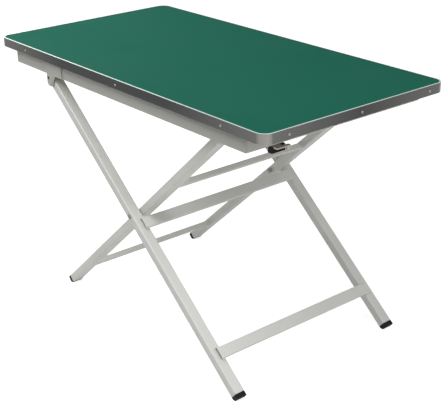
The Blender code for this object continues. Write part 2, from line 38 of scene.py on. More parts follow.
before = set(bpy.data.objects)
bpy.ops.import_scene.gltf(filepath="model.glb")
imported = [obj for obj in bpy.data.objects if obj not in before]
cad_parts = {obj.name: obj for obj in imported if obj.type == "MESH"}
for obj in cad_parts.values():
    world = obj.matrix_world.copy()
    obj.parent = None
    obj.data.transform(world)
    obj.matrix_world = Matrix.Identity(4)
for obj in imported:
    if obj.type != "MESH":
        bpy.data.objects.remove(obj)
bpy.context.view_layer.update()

# The table's own directions, and the labels of its two long sides and two ends
LENGTHWISE = Vector((1.0, 0.0, 0.0))
ACROSS = Vector((0.0, 1.0, 0.0))
UPWARD = Vector((0.0, 0.0, 1.0))
SIDES = (("near", -1.0), ("far", 1.0))
ENDS = (("left", -1.0), ("right", 1.0))

# The Mix node has one set of sockets for each kind of value: these are its factor and its colours
MIX_FACTOR = 0
MIX_FIRST = 6
MIX_SECOND = 7
MIX_RESULT = 2

MM_PER_METRE = 1000.0
WHITE = (1.0, 1.0, 1.0, 1.0)

# Most values of a noise pattern lie in this range
PATTERN_LOW = 0.3
PATTERN_HIGH = 0.7

# Cosines of how far a rounded edge leans from its face where wear starts, and where it is full
WEAR_STARTS = 0.99
WEAR_FULL = 0.86

# Faces that meet at less than these angles are shaded as one
SMOOTH_ANGLE = math.radians(35)
BEAD_SMOOTH_ANGLE = math.radians(60)

# A face looks along an axis where its normal has more than this part along it
FACING = 0.5

# The bevel profile that is a quarter of a circle
ROUND_PROFILE = 0.5

MERGE_DISTANCE = 0.000001
SENSOR_WIDTH_MM = 36.0


# Colours, lengths and places

def linear(hex_colour):
    """Turns an sRGB hex colour into linear red, green and blue."""
    channels = []
    for start in (1, 3, 5):
        value = int(hex_colour[start:start + 2], 16) / 255.0
        channels.append(value / 12.92 if value <= 0.04045 else ((value + 0.055) / 1.055) ** 2.4)
    return tuple(channels)


def opaque(colour):
    """A colour as a socket takes it, with full alpha."""
    return (*colour, 1.0)


def toned(colour, share):
    """A colour made darker or lighter by a share."""
    return [min(1.0, share * part) for part in colour]


def per_feature(millimetres):
    """The texture scale at which one feature is this wide."""
    return MM_PER_METRE / millimetres


def middle(node):
    """The middle of a CAD node's box at rest."""
    low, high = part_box(node)
    return (low + high) / 2


def reach(node, direction):
    """How far a CAD node reaches back and forth along a direction."""
    distances = [direction.dot(point.co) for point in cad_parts[node].data.vertices]
    return min(distances), max(distances)


def leg_directions(first_bar, second_bar):
    """The way along a pair of legs, from one bar to the other, and the way out of their upper face."""
    along = (middle(second_bar) - middle(first_bar)).normalized()
    return along, Vector((-along.z, 0.0, along.x))


def out_of_face(outward, place):
    """Stands a piece that was modelled along +Z on a face with this outward direction, at this place."""
    turned = outward.to_track_quat("Z", "Y").to_matrix().to_4x4()
    return Matrix.Translation(place) @ turned


# Sizes and colours that a user would change

class TableFinishes(bpy.types.PropertyGroup):
    """Colours of the table's finishes"""
    rubber: FloatVectorProperty(name="Rubber", description="Green of the rubber mat", subtype="COLOR",
                                min=0.0, max=1.0, default=linear("#135242"))
    rubber_pale: FloatVectorProperty(name="Rubber, pale", description="Green where the mat is dusty",
                                     subtype="COLOR", min=0.0, max=1.0, default=linear("#1A5849"))
    # Painted shade: the trim's upright faces are painted dark
    trim: FloatVectorProperty(name="Trim", description="Metal of the trim's upright faces", subtype="COLOR",
                              min=0.0, max=1.0, default=linear("#393A3B"))
    # Painted reflection: the trim is painted lighter towards its corners, up to the reach below
    trim_corner_reflection: FloatVectorProperty(name="Trim by the corners", description="Metal polished by hands",
                                      subtype="COLOR", min=0.0, max=1.0, default=linear("#636361"))
    corner_reflection_reach: FloatProperty(name="Handled reach", unit="LENGTH", default=0.36,
                                 description="How far from a corner hands polish the trim")
    # Painted highlight: the trim is painted brighter where it bends round its corners
    trim_bend_highlight: FloatVectorProperty(name="Trim bends", description="Metal stretched bright round the corners",
                                   subtype="COLOR", min=0.0, max=1.0, default=linear("#8A8985"))
    # Painted highlight: the trim's top lip is painted brighter than its upright faces
    trim_lip_highlight: FloatVectorProperty(name="Trim lip", description="Metal of the trim's rubbed top lip",
                                  subtype="COLOR", min=0.0, max=1.0, default=linear("#B2BFB8"))
    rail: FloatVectorProperty(name="Rails", description="Enamel of the rails and brackets", subtype="COLOR",
                              min=0.0, max=1.0, default=linear("#BBBBB4"))
    leg: FloatVectorProperty(name="Legs", description="Powder coat of the legs and bars", subtype="COLOR",
                             min=0.0, max=1.0, default=linear("#DBDBD7"))
    bare_metal: FloatVectorProperty(name="Bare metal", description="Metal where an edge is worn through",
                                    subtype="COLOR", min=0.0, max=1.0, default=linear("#E2E2DE"))
    plug: FloatVectorProperty(name="Plugs", description="Black of the plugs, caps and spacers",
                              subtype="COLOR", min=0.0, max=1.0, default=linear("#151516"))
    catch: FloatVectorProperty(name="Catch", description="Brown of the catch block", subtype="COLOR",
                               min=0.0, max=1.0, default=linear("#150907"))
    zinc: FloatVectorProperty(name="Zinc", description="Plating of the pins, washers, screws and tongue",
                              subtype="COLOR", min=0.0, max=1.0, default=linear("#A19A95"))
    bolt_paint: FloatVectorProperty(name="Bolts", description="Paint of the bolts and nuts",
                                    subtype="COLOR", min=0.0, max=1.0, default=linear("#9C9C9A"))
    board: FloatVectorProperty(name="Board", description="Pale facing under the top", subtype="COLOR",
                               min=0.0, max=1.0, default=linear("#CFCCC6"))


class TrimScrewSizes(bpy.types.PropertyGroup):
    """Sizes of the screws in the edge trim, and their places along it"""
    head_radius: FloatProperty(name="Head radius", description="Radius of a screw head", unit="LENGTH",
                               default=0.0034)
    head_height: FloatProperty(name="Head height", description="How far a head stands proud",
                               unit="LENGTH", default=0.0010)
    head_sunk: FloatProperty(name="Head sunk", description="How far a head goes into the trim",
                             unit="LENGTH", default=0.0006)
    head_round: FloatProperty(name="Head rounding", description="Rounding of a head's rim", unit="LENGTH",
                              default=0.0009)
    round_steps: IntProperty(name="Rounding steps", description="Faces across a head's rounding", default=4)
    recess_width: FloatProperty(name="Recess width", description="Width of the cross recess' arms",
                                unit="LENGTH", default=0.0009)
    recess_reach: FloatProperty(name="Recess reach", description="Length of a recess arm from the middle",
                                unit="LENGTH", default=0.0020)
    recess_depth: FloatProperty(name="Recess depth", description="Depth of the cross recess",
                                unit="LENGTH", default=0.0007)
    below_top: FloatProperty(name="Below top", description="Depth of the screws below the trim's top",
                             unit="LENGTH", default=0.0148)
    side_places: FloatVectorProperty(name="Side places", description="Screws along a long side",
                                     unit="LENGTH", default=(-0.450, 0.017, 0.450))
    end_places: FloatVectorProperty(name="End places", description="Screws along an end", unit="LENGTH",
                                    default=(-0.230, 0.004, 0.246))
    points_round: IntProperty(name="Points round", description="Points round a screw head", default=24)


class WeldBeadSizes(bpy.types.PropertyGroup):
    """Sizes of the weld beads at the bars' ends"""
    radius: FloatProperty(name="Radius", description="Radius of a weld bead", unit="LENGTH", default=0.0020)
    length: FloatProperty(name="Length", description="Length of a weld bead", unit="LENGTH", default=0.0120)
    ripples: IntProperty(name="Ripples", description="Number of ripples along a bead", default=6)
    ripple_depth: FloatProperty(name="Ripple depth", description="Share by which a bead narrows",
                                subtype="FACTOR", default=0.14)
    end_share: FloatProperty(name="End share", description="Radius of a bead's ends as a share of its own",
                             subtype="FACTOR", default=0.5)
    points_round: IntProperty(name="Points round", description="Points round a bead", default=10)
    end_margin: FloatProperty(name="End margin", description="From a bar's end to its bead", unit="LENGTH",
                              default=0.0010)


class FootRimSizes(bpy.types.PropertyGroup):
    """Sizes of the rims of the inner legs' foot plugs"""
    proud: FloatProperty(name="Proud", description="How far a rim stands out from the tube", unit="LENGTH",
                         default=0.0004)
    on_tube: FloatProperty(name="On tube", description="How far a rim laps over the tube's end",
                           unit="LENGTH", default=0.0050)
    past_tube: FloatProperty(name="Past tube", description="How far a rim reaches past the tube's end",
                             unit="LENGTH", default=0.0016)
    corner_radius: FloatProperty(name="Corner radius", description="Radius of a rim's four corners",
                                 unit="LENGTH", default=0.0044)
    corner_steps: IntProperty(name="Corner steps", description="Faces round each corner", default=5)
    edge_round: FloatProperty(name="Edge rounding", description="Rounding of a rim's upper edge",
                              unit="LENGTH", default=0.0003)
    edge_steps: IntProperty(name="Edge steps", description="Faces across the edge's rounding", default=2)


class BracketPlugSizes(bpy.types.PropertyGroup):
    """Sizes of the plugs in the pivot brackets, and their place from the pivot pin"""
    ahead_of_pin: FloatProperty(name="Ahead of pin", description="Place along the table from the pivot pin",
                                unit="LENGTH", default=-0.0100)
    above_pin: FloatProperty(name="Above pin", description="Height over the pivot pin", unit="LENGTH",
                             default=0.0110)
    head_radius: FloatProperty(name="Head radius", description="Radius of a plug's head", unit="LENGTH",
                               default=0.0040)
    head_height: FloatProperty(name="Head height", description="How far a head stands on the bracket",
                               unit="LENGTH", default=0.0014)
    head_round: FloatProperty(name="Head rounding", description="Rounding of a head's rim", unit="LENGTH",
                              default=0.0010)
    round_steps: IntProperty(name="Rounding steps", description="Faces across a head's rounding", default=4)
    stem_radius: FloatProperty(name="Stem radius", description="Radius of the stem in the bracket's hole",
                               unit="LENGTH", default=0.0027)
    stem_length: FloatProperty(name="Stem length", description="Length of the stem", unit="LENGTH",
                               default=0.0028)
    points_round: IntProperty(name="Points round", description="Points round a plug", default=24)


class StudioSettings(bpy.types.PropertyGroup):
    """The camera, the floor and the light"""
    camera_place: FloatVectorProperty(name="Camera", description="Place of the camera", subtype="XYZ",
                                      unit="LENGTH", default=(2.2185, -1.7290, 1.5354))
    camera_aim: FloatVectorProperty(name="Aim", description="Point that the camera looks at", subtype="XYZ",
                                    unit="LENGTH", default=(0.0707, 0.0, 0.3459))
    camera_roll: FloatProperty(name="Roll", description="Turn of the camera about its view",
                               subtype="ANGLE", default=math.radians(-1.127))
    lens: FloatProperty(name="Lens", description="Focal length in millimetres", default=84.40)
    floor_size: FloatProperty(name="Floor", description="Length and width of the floor", unit="LENGTH",
                              default=40.0)
    floor_drop: FloatProperty(name="Floor drop", description="Gap between the soles and the floor",
                              unit="LENGTH", default=0.0003)
    floor_colour: FloatVectorProperty(name="Floor colour", description="Pale grey of the floor",
                                      subtype="COLOR", min=0.0, max=1.0, default=linear("#D2D2D0"))
    near_glow: FloatProperty(name="Near glow", description="Light that whitens the floor by the table",
                             default=0.77)
    far_glow: FloatProperty(name="Far glow", description="Light that whitens the floor far from the table",
                            default=0.98)
    glow_reach: FloatProperty(name="Glow reach", description="Where the far glow is reached", unit="LENGTH",
                              default=3.0)
    sky_strength: FloatProperty(name="Sky", description="Strength of the light from all round", default=0.10)
    key_power: FloatProperty(name="Key light", description="Power of the lamp over the near side, in watts",
                             default=51.0)
    key_place: FloatVectorProperty(name="Key place", description="Place of the lamp over the near side",
                                   subtype="XYZ", unit="LENGTH", default=(0.0, -1.1, 2.7))
    key_size: FloatProperty(name="Key size", description="Width of the lamp over the near side",
                            unit="LENGTH", default=2.0)
    left_power: FloatProperty(name="Left light", description="Power of the lamp over the left end, in watts",
                              default=16.0)
    left_place: FloatVectorProperty(name="Left place", description="Place of the lamp over the left end",
                                    subtype="XYZ", unit="LENGTH", default=(-1.3, -0.1, 1.7))
    end_power: FloatProperty(name="End light", default=17.0,
                             description="Power of the lamp beyond the right end, in watts")
    end_place: FloatVectorProperty(name="End place", description="Place of the lamp beyond the right end",
                                   subtype="XYZ", unit="LENGTH", default=(1.9, 0.0, 1.3))
    low_lamp_size: FloatProperty(name="Lamp size", description="Width of the left and end lamps",
                                 unit="LENGTH", default=1.4)


# Patterns that several materials use

def add_node(tree, kind, settings=None, links=None):
    """Adds one node, sets its values and links its inputs."""
    node = tree.nodes.new(kind)
    for name, value in (settings or {}).items():
        if isinstance(name, int) or name in node.inputs:
            node.inputs[name].default_value = value
        else:
            setattr(node, name, value)
    for name, source in (links or {}).items():
        tree.links.new(source, node.inputs[name])
    return node


def start_finish(name):
    """A new material, its node tree, its surface shader and the piece's own coordinates."""
    material = bpy.data.materials.new(name)
    material.use_nodes = True
    tree = material.node_tree
    surface = tree.nodes["Principled BSDF"]
    place = add_node(tree, "ShaderNodeTexCoord").outputs["Object"]
    return material, tree, surface, place


def mottled(tree, place, first, second, patch_mm):
    """Two colours that run into each other in soft patches of this size, and the pattern of the patches."""
    patches = add_node(tree, "ShaderNodeTexNoise", {"Scale": per_feature(patch_mm), "Detail": 3.0},
                       {"Vector": place})
    mix = add_node(tree, "ShaderNodeMix", {"data_type": "RGBA", MIX_FIRST: opaque(first),
                                           MIX_SECOND: opaque(second)},
                   {MIX_FACTOR: patches.outputs["Fac"]})
    return mix.outputs[MIX_RESULT], patches.outputs["Fac"]


def between(tree, pattern, low, high):
    """Spreads the range where most of a pattern's values lie from one value to another."""
    spread = add_node(tree, "ShaderNodeMapRange", {"From Min": PATTERN_LOW, "From Max": PATTERN_HIGH,
                                                   "To Min": low, "To Max": high}, {"Value": pattern})
    return spread.outputs["Result"]


def worn_edges(tree, place, radius, break_mm):
    """A mask of a piece's edges, rounded by this radius and broken up as wear is."""
    rounded = add_node(tree, "ShaderNodeBevel", {"samples": 4, "Radius": radius})
    face = add_node(tree, "ShaderNodeNewGeometry")
    match = add_node(tree, "ShaderNodeVectorMath", {"operation": "DOT_PRODUCT"},
                     {0: rounded.outputs["Normal"], 1: face.outputs["Normal"]})
    edge = add_node(tree, "ShaderNodeMapRange", {"From Min": WEAR_STARTS, "From Max": WEAR_FULL},
                    {"Value": match.outputs["Value"]})
    breaks = add_node(tree, "ShaderNodeTexNoise", {"Scale": per_feature(break_mm), "Detail": 4.0},
                      {"Vector": place})
    mask = add_node(tree, "ShaderNodeMath", {"operation": "MULTIPLY"},
                    {0: edge.outputs["Result"], 1: between(tree, breaks.outputs["Fac"], low=0.0, high=1.0)})
    return mask.outputs["Value"]


def layered(tree, colour, *layers):
    """Lays colours over the first one, each where its mask is white."""
    for layer, mask in layers:
        mix = add_node(tree, "ShaderNodeMix", {"data_type": "RGBA", MIX_SECOND: opaque(layer)},
                       {MIX_FACTOR: mask, MIX_FIRST: colour})
        colour = mix.outputs[MIX_RESULT]
    return colour


def raise_grain(tree, surface, place, grain_mm, strength, depth, detail=2.0):
    """Gives a surface a grain of this width by a bump."""
    grain = add_node(tree, "ShaderNodeTexNoise", {"Scale": per_feature(grain_mm), "Detail": detail},
                     {"Vector": place})
    bump = add_node(tree, "ShaderNodeBump", {"Strength": strength, "Distance": depth},
                    {"Height": grain.outputs["Fac"]})
    tree.links.new(bump.outputs["Normal"], surface.inputs["Normal"])


# Materials

def pebbled_green_rubber(finishes):
    # Moulded sheet rubber: matt, with a fine pebble that breaks up the sheen, and a little pale dust
    material, tree, surface, place = start_finish("pebbled_green_rubber")
    colour, patches = mottled(tree, place, finishes.rubber, finishes.rubber_pale, patch_mm=260.0)
    tree.links.new(colour, surface.inputs["Base Color"])
    tree.links.new(between(tree, patches, low=0.62, high=0.74), surface.inputs["Roughness"])
    surface.inputs["Specular IOR Level"].default_value = 0.02
    # The real pebble is about 1 mm across, too fine for the picture, so it is drawn at 2.5 mm
    pebble_scale = per_feature(2.5)
    pebble = add_node(tree, "ShaderNodeTexVoronoi", {"feature": "SMOOTH_F1", "Scale": pebble_scale},
                      {"Vector": place})
    bump = add_node(tree, "ShaderNodeBump", {"Strength": 0.22, "Distance": 0.0004, "invert": True},
                    {"Height": pebble.outputs["Distance"]})
    tree.links.new(bump.outputs["Normal"], surface.inputs["Normal"])
    return material


def lip_and_bend_highlights(tree):
    """Masks of the painted highlights on the trim's top lip and on its bent corners, by the way that a face
    looks.
    """
    lip_starts = 0.3
    lip_full = 0.8
    # Halfway round a corner the X and Y parts of the normal multiply to one half, which is the most they can
    halfway_round = 0.5
    normal = add_node(tree, "ShaderNodeTexCoord").outputs["Normal"]
    parts = add_node(tree, "ShaderNodeSeparateXYZ", {}, {"Vector": normal})
    # Painted highlight: the lip mask lightens the faces that look up
    lip = add_node(tree, "ShaderNodeMapRange", {"From Min": lip_starts, "From Max": lip_full},
                   {"Value": parts.outputs["Z"]})
    # Painted highlight: the bends mask lightens the faces that turn round a corner
    aslant = add_node(tree, "ShaderNodeMath", {"operation": "MULTIPLY"},
                      {0: parts.outputs["X"], 1: parts.outputs["Y"]})
    slant = add_node(tree, "ShaderNodeMath", {"operation": "ABSOLUTE"}, {0: aslant.outputs["Value"]})
    bends = add_node(tree, "ShaderNodeMapRange",
                     {"interpolation_type": "SMOOTHSTEP", "From Max": halfway_round},
                     {"Value": slant.outputs["Value"]})
    return lip.outputs["Result"], bends.outputs["Result"]


def near_corners(tree, place, distance):
    """A mask for the painted reflection on the trim, which grows towards its four corners from this
    distance.
    """
    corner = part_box("edge_trim")[1]
    flat = add_node(tree, "ShaderNodeVectorMath", {"operation": "MULTIPLY", 1: (1.0, 1.0, 0.0)}, {0: place})
    quarter = add_node(tree, "ShaderNodeVectorMath", {"operation": "ABSOLUTE"}, {0: flat.outputs["Vector"]})
    away = add_node(tree, "ShaderNodeVectorMath", {"operation": "DISTANCE", 1: (corner.x, corner.y, 0.0)},
                    {0: quarter.outputs["Vector"]})
    closeness = add_node(tree, "ShaderNodeMapRange", {"From Min": distance, "From Max": 0.0},
                         {"Value": away.outputs["Value"]})
    return closeness.outputs["Result"]


def satin_extruded_aluminium(finishes):
    # Extruded aluminium strip: satin, with draw lines along it; its upright faces are painted dark as shade,
    # and it is painted lighter towards the corners as reflection, with painted highlights where it is bent
    # round them and on its top lip
    material, tree, surface, place = start_finish("satin_extruded_aluminium")
    # Draw lines are about 0.3 mm apart, too fine for the picture, so they are drawn at 1.5 mm
    line_width = per_feature(1.5)
    line_length = per_feature(400.0)
    line_share = 0.10
    stretched = add_node(tree, "ShaderNodeMapping", {"Scale": (line_length, line_length, line_width)},
                         {"Vector": place})
    lines = add_node(tree, "ShaderNodeTexNoise", {"Scale": 1.0, "Detail": 2.0},
                     {"Vector": stretched.outputs["Vector"]})
    tone = mottled(tree, place, finishes.trim, toned(finishes.trim, share=1.18), patch_mm=90.0)[0]
    lined = add_node(tree, "ShaderNodeMix",
                     {"data_type": "RGBA", "blend_type": "MULTIPLY", MIX_FACTOR: line_share},
                     {MIX_FIRST: tone, MIX_SECOND: lines.outputs["Color"]})
    lip, bends = lip_and_bend_highlights(tree)
    # The corner, bend and lip layers are painted reflection and highlight; only the bare edges are wear
    colour = layered(tree, lined.outputs[MIX_RESULT],
                     (finishes.trim_corner_reflection, near_corners(tree, place, finishes.corner_reflection_reach)),
                     (finishes.trim_bend_highlight, bends),
                     (finishes.trim_lip_highlight, lip),
                     (finishes.bare_metal, worn_edges(tree, place, radius=0.0008, break_mm=12.0)))
    tree.links.new(colour, surface.inputs["Base Color"])
    tree.links.new(between(tree, lines.outputs["Fac"], low=0.44, high=0.56), surface.inputs["Roughness"])
    surface.inputs["Metallic"].default_value = 1.0
    bump = add_node(tree, "ShaderNodeBump", {"Strength": 0.06, "Distance": 0.0002},
                    {"Height": lines.outputs["Fac"]})
    tree.links.new(bump.outputs["Normal"], surface.inputs["Normal"])
    return material


def coated_tube(name, colour, bare_metal, metallic, roughness, grain_mm, wear_radius):
    """A coated tube: a slightly uneven coat with a fine grain, rubbed through along its edges."""
    uneven = 0.05
    material, tree, surface, place = start_finish(name)
    tone, patches = mottled(tree, place, colour, toned(colour, share=0.92), patch_mm=140.0)
    worn = worn_edges(tree, place, wear_radius, break_mm=9.0)
    tree.links.new(layered(tree, tone, (bare_metal, worn)), surface.inputs["Base Color"])
    tree.links.new(between(tree, patches, roughness - uneven, roughness + uneven),
                   surface.inputs["Roughness"])
    surface.inputs["Metallic"].default_value = metallic
    raise_grain(tree, surface, place, grain_mm, strength=0.08, depth=0.0003)
    return material


def warm_grey_enamel(finishes):
    # Sprayed enamel on steel tube: satin, with a soft orange peel of about 2 mm
    return coated_tube("warm_grey_enamel", finishes.rail, finishes.bare_metal, metallic=0.0, roughness=0.42,
                       grain_mm=2.0, wear_radius=0.0010)


def silver_powder_coat(finishes):
    # Silver powder coat on tube: fine metal flakes give a soft sheen
    # Its grain is about 1 mm, too fine for the picture, so it is drawn at 1.5 mm
    return coated_tube("silver_powder_coat", finishes.leg, finishes.bare_metal, metallic=0.15,
                       roughness=0.58, grain_mm=1.5, wear_radius=0.0007)


def moulded_plastic(name, colour, roughness, gloss, grain_mm):
    """A moulded piece: an even colour, a fine spark-eroded grain and slightly paler scuffed edges."""
    uneven = 0.06
    material, tree, surface, place = start_finish(name)
    tone, patches = mottled(tree, place, colour, toned(colour, share=1.5), patch_mm=14.0)
    scuffed = worn_edges(tree, place, radius=0.0008, break_mm=5.0)
    tree.links.new(layered(tree, tone, (toned(colour, share=1.8), scuffed)), surface.inputs["Base Color"])
    tree.links.new(between(tree, patches, roughness - uneven, roughness + uneven),
                   surface.inputs["Roughness"])
    surface.inputs["Specular IOR Level"].default_value = gloss
    raise_grain(tree, surface, place, grain_mm, strength=0.12, depth=0.0002)
    return material


def black_polyethylene(finishes):
    # Injection-moulded polyethylene: dull black with a waxy edge
    # Its grain is about 0.1 mm, too fine to show, so it is drawn at 0.8 mm
    return moulded_plastic("black_polyethylene", finishes.plug, roughness=0.60, gloss=0.12, grain_mm=0.8)


def brown_phenolic(finishes):
    # Pressed phenolic resin: hard, dark red-brown and a little glossy
    # Its grain is about 0.1 mm, too fine to show, so it is drawn at 0.6 mm
    return moulded_plastic("brown_phenolic", finishes.catch, roughness=0.45, gloss=0.08, grain_mm=0.6)


def turned_metal(name, colour, metallic, roughness, fleck_mm):
    """Plated or painted steel: flecks of slightly different tone and gloss, bright along the edges."""
    smoother = 0.06
    rougher = 0.08
    material, tree, surface, place = start_finish(name)
    tone, patches = mottled(tree, place, colour, toned(colour, share=0.80), fleck_mm)
    worn = worn_edges(tree, place, radius=0.0005, break_mm=3.0)
    tree.links.new(layered(tree, tone, (toned(colour, share=1.5), worn)), surface.inputs["Base Color"])
    tree.links.new(between(tree, patches, roughness - smoother, roughness + rougher),
                   surface.inputs["Roughness"])
    surface.inputs["Metallic"].default_value = metallic
    return material


def zinc_plated_steel(finishes):
    # Zinc plate: bright and slightly warm, with dull flecks of about 2 mm
    return turned_metal("zinc_plated_steel", finishes.zinc, metallic=1.0, roughness=0.30, fleck_mm=2.0)


def dull_painted_steel(finishes):
    # Bolts painted with the legs and handled since: darker than the legs, with a low sheen
    return turned_metal("dull_painted_steel", finishes.bolt_paint, metallic=0.2, roughness=0.50,
                        fleck_mm=3.0)


def pale_faced_board(finishes):
    # Resin-faced board: pale, with faint clouding and a fine paper texture of about 3 mm
    material, tree, surface, place = start_finish("pale_faced_board")
    tone, patches = mottled(tree, place, finishes.board, toned(finishes.board, share=0.93), patch_mm=60.0)
    tree.links.new(tone, surface.inputs["Base Color"])
    tree.links.new(between(tree, patches, low=0.48, high=0.58), surface.inputs["Roughness"])
    raise_grain(tree, surface, place, grain_mm=3.0, strength=0.10, depth=0.0003, detail=3.0)
    return material


def seen_directly(tree):
    """A mask of what the camera, a mirror or a window shows, as against what lights the object."""
    path = add_node(tree, "ShaderNodeLightPath")
    sharp = add_node(tree, "ShaderNodeMath", {"operation": "MAXIMUM"},
                     {0: path.outputs["Is Camera Ray"], 1: path.outputs["Is Glossy Ray"]})
    clear = add_node(tree, "ShaderNodeMath", {"operation": "MAXIMUM"},
                     {0: sharp.outputs["Value"], 1: path.outputs["Is Transmission Ray"]})
    return clear.outputs["Value"]


def seamless_paper(studio):
    # Seamless studio paper: pale and matt, whitened where it is seen, so that only the shadow shows
    material = bpy.data.materials.new("seamless_paper")
    material.use_nodes = True
    tree = material.node_tree
    tree.nodes.clear()
    paper = add_node(tree, "ShaderNodeBsdfDiffuse", {"Color": opaque(studio.floor_colour)})
    place = add_node(tree, "ShaderNodeTexCoord").outputs["Object"]
    spot = add_node(tree, "ShaderNodeMapping", {"Scale": [1.0 / studio.glow_reach] * 3}, {"Vector": place})
    closeness = add_node(tree, "ShaderNodeTexGradient", {"gradient_type": "SPHERICAL"},
                         {"Vector": spot.outputs["Vector"]})
    whitening = add_node(tree, "ShaderNodeMapRange", {"To Min": studio.far_glow, "To Max": studio.near_glow},
                         {"Value": closeness.outputs["Fac"]})
    strength = add_node(tree, "ShaderNodeMath", {"operation": "MULTIPLY"},
                        {0: seen_directly(tree), 1: whitening.outputs["Result"]})
    glow = add_node(tree, "ShaderNodeEmission", {"Color": WHITE}, {"Strength": strength.outputs["Value"]})
    both = add_node(tree, "ShaderNodeAddShader", {},
                    {0: paper.outputs["BSDF"], 1: glow.outputs["Emission"]})
    add_node(tree, "ShaderNodeOutputMaterial", {}, {"Surface": both.outputs["Shader"]})
    return material


def coat_nodes(material, *nodes):
    """Puts one finish on CAD nodes, in the material slots that they have."""
    for node in nodes:
        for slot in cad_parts[node].material_slots:
            slot.material = material


def on_both_sides(*names):
    """The near and the far CAD node of each name."""
    return [name + "_" + label for name in names for label, side in SIDES]


# Modelling by hand

def deselect_all():
    """Leaves nothing selected, so that an operator acts on the next new piece alone."""
    bpy.ops.object.select_all(action="DESELECT")


def start_shaping():
    """Puts the place and size of the primitive just added in its mesh, and opens it in edit mode."""
    piece = bpy.context.object
    bpy.ops.object.transform_apply(location=True, rotation=True, scale=True)
    bpy.ops.object.mode_set(mode="EDIT")
    return piece


def select_in_mesh(piece, wanted, kind):
    """Selects the faces or edges of a piece that is in edit mode for which the test holds."""
    bpy.ops.mesh.select_mode(type=kind)
    bpy.ops.mesh.select_all(action="DESELECT")
    shape = bmesh.from_edit_mesh(piece.data)
    for part in shape.faces if kind == "FACE" else shape.edges:
        if wanted(part):
            part.select_set(True)
    bmesh.update_edit_mesh(piece.data)


def round_rim(piece, above, radius, steps):
    """Rounds the edges of a piece in edit mode that lie wholly above a height."""
    select_in_mesh(piece, lambda edge: min(point.co.z for point in edge.verts) > above, "EDGE")
    bpy.ops.mesh.bevel(offset=radius, segments=steps, profile=ROUND_PROFILE)


def close_mesh():
    """Merges doubles and turns the faces of the piece in edit mode outwards, then leaves edit mode."""
    bpy.ops.mesh.select_all(action="SELECT")
    bpy.ops.mesh.remove_doubles(threshold=MERGE_DISTANCE)
    bpy.ops.mesh.normals_make_consistent(inside=False)
    bpy.ops.object.mode_set(mode="OBJECT")


def copy_to(pattern, name, place, body, material):
    """Copies a modelled piece, with its place in its own mesh, and lets it ride on a body."""
    piece = pattern.copy()
    piece.name = name
    piece.data = pattern.data.copy()
    piece.data.name = name
    piece.data.transform(place)
    piece.data.materials.clear()
    piece.data.materials.append(material)
    bpy.context.scene.collection.objects.link(piece)
    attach(piece, body)


def recess_cutter(sizes):
    """A cross that is pressed into a screw head: a small block whose four sides are drawn out."""
    deselect_all()
    deep = 2 * sizes.recess_depth
    bpy.ops.mesh.primitive_cube_add(size=1.0, location=(0.0, 0.0, sizes.head_height),
                                    scale=(sizes.recess_width, sizes.recess_width, deep))
    cutter = start_shaping()
    select_in_mesh(cutter, lambda face: abs(face.normal.z) < FACING, "FACE")
    arm = sizes.recess_reach - sizes.recess_width / 2
    bpy.ops.mesh.extrude_faces_move(TRANSFORM_OT_shrink_fatten={"value": arm})
    bpy.ops.object.mode_set(mode="OBJECT")
    return cutter


def dome_head_screw(sizes):
    """A domed screw head that stands on the plane z = 0, with a cross recess."""
    cutter = recess_cutter(sizes)
    deselect_all()
    depth = sizes.head_height + sizes.head_sunk
    bpy.ops.mesh.primitive_cylinder_add(vertices=sizes.points_round, radius=sizes.head_radius, depth=depth,
                                        location=(0.0, 0.0, sizes.head_height - depth / 2))
    screw = start_shaping()
    round_rim(screw, sizes.head_height - depth / 4, sizes.head_round, sizes.round_steps)
    close_mesh()
    recess = screw.modifiers.new("recess", "BOOLEAN")
    recess.operation = "DIFFERENCE"
    recess.object = cutter
    bpy.ops.object.modifier_apply(modifier="recess")
    bpy.data.objects.remove(cutter, do_unlink=True)
    bpy.ops.object.shade_smooth_by_angle(angle=SMOOTH_ANGLE)
    return screw


def weld_bead(sizes):
    """A rippled bead along Z, centred on the origin: a disc drawn out in steps that widen and narrow."""
    deselect_all()
    bpy.ops.mesh.primitive_circle_add(vertices=sizes.points_round, radius=sizes.radius * sizes.end_share,
                                      fill_type="NGON", location=(0.0, 0.0, -sizes.length / 2))
    bead = start_shaping()
    bpy.ops.mesh.select_all(action="SELECT")
    narrow = 1.0 - sizes.ripple_depth
    growths = [1.0 / sizes.end_share] + [narrow, 1.0 / narrow] * sizes.ripples + [sizes.end_share]
    step = sizes.length / len(growths)
    for growth in growths:
        bpy.ops.mesh.extrude_region_move(TRANSFORM_OT_translate={"value": (0.0, 0.0, step)})
        bpy.ops.transform.resize(value=(growth, growth, 1.0))
    close_mesh()
    bpy.ops.object.shade_smooth_by_angle(angle=BEAD_SMOOTH_ANGLE)
    return bead


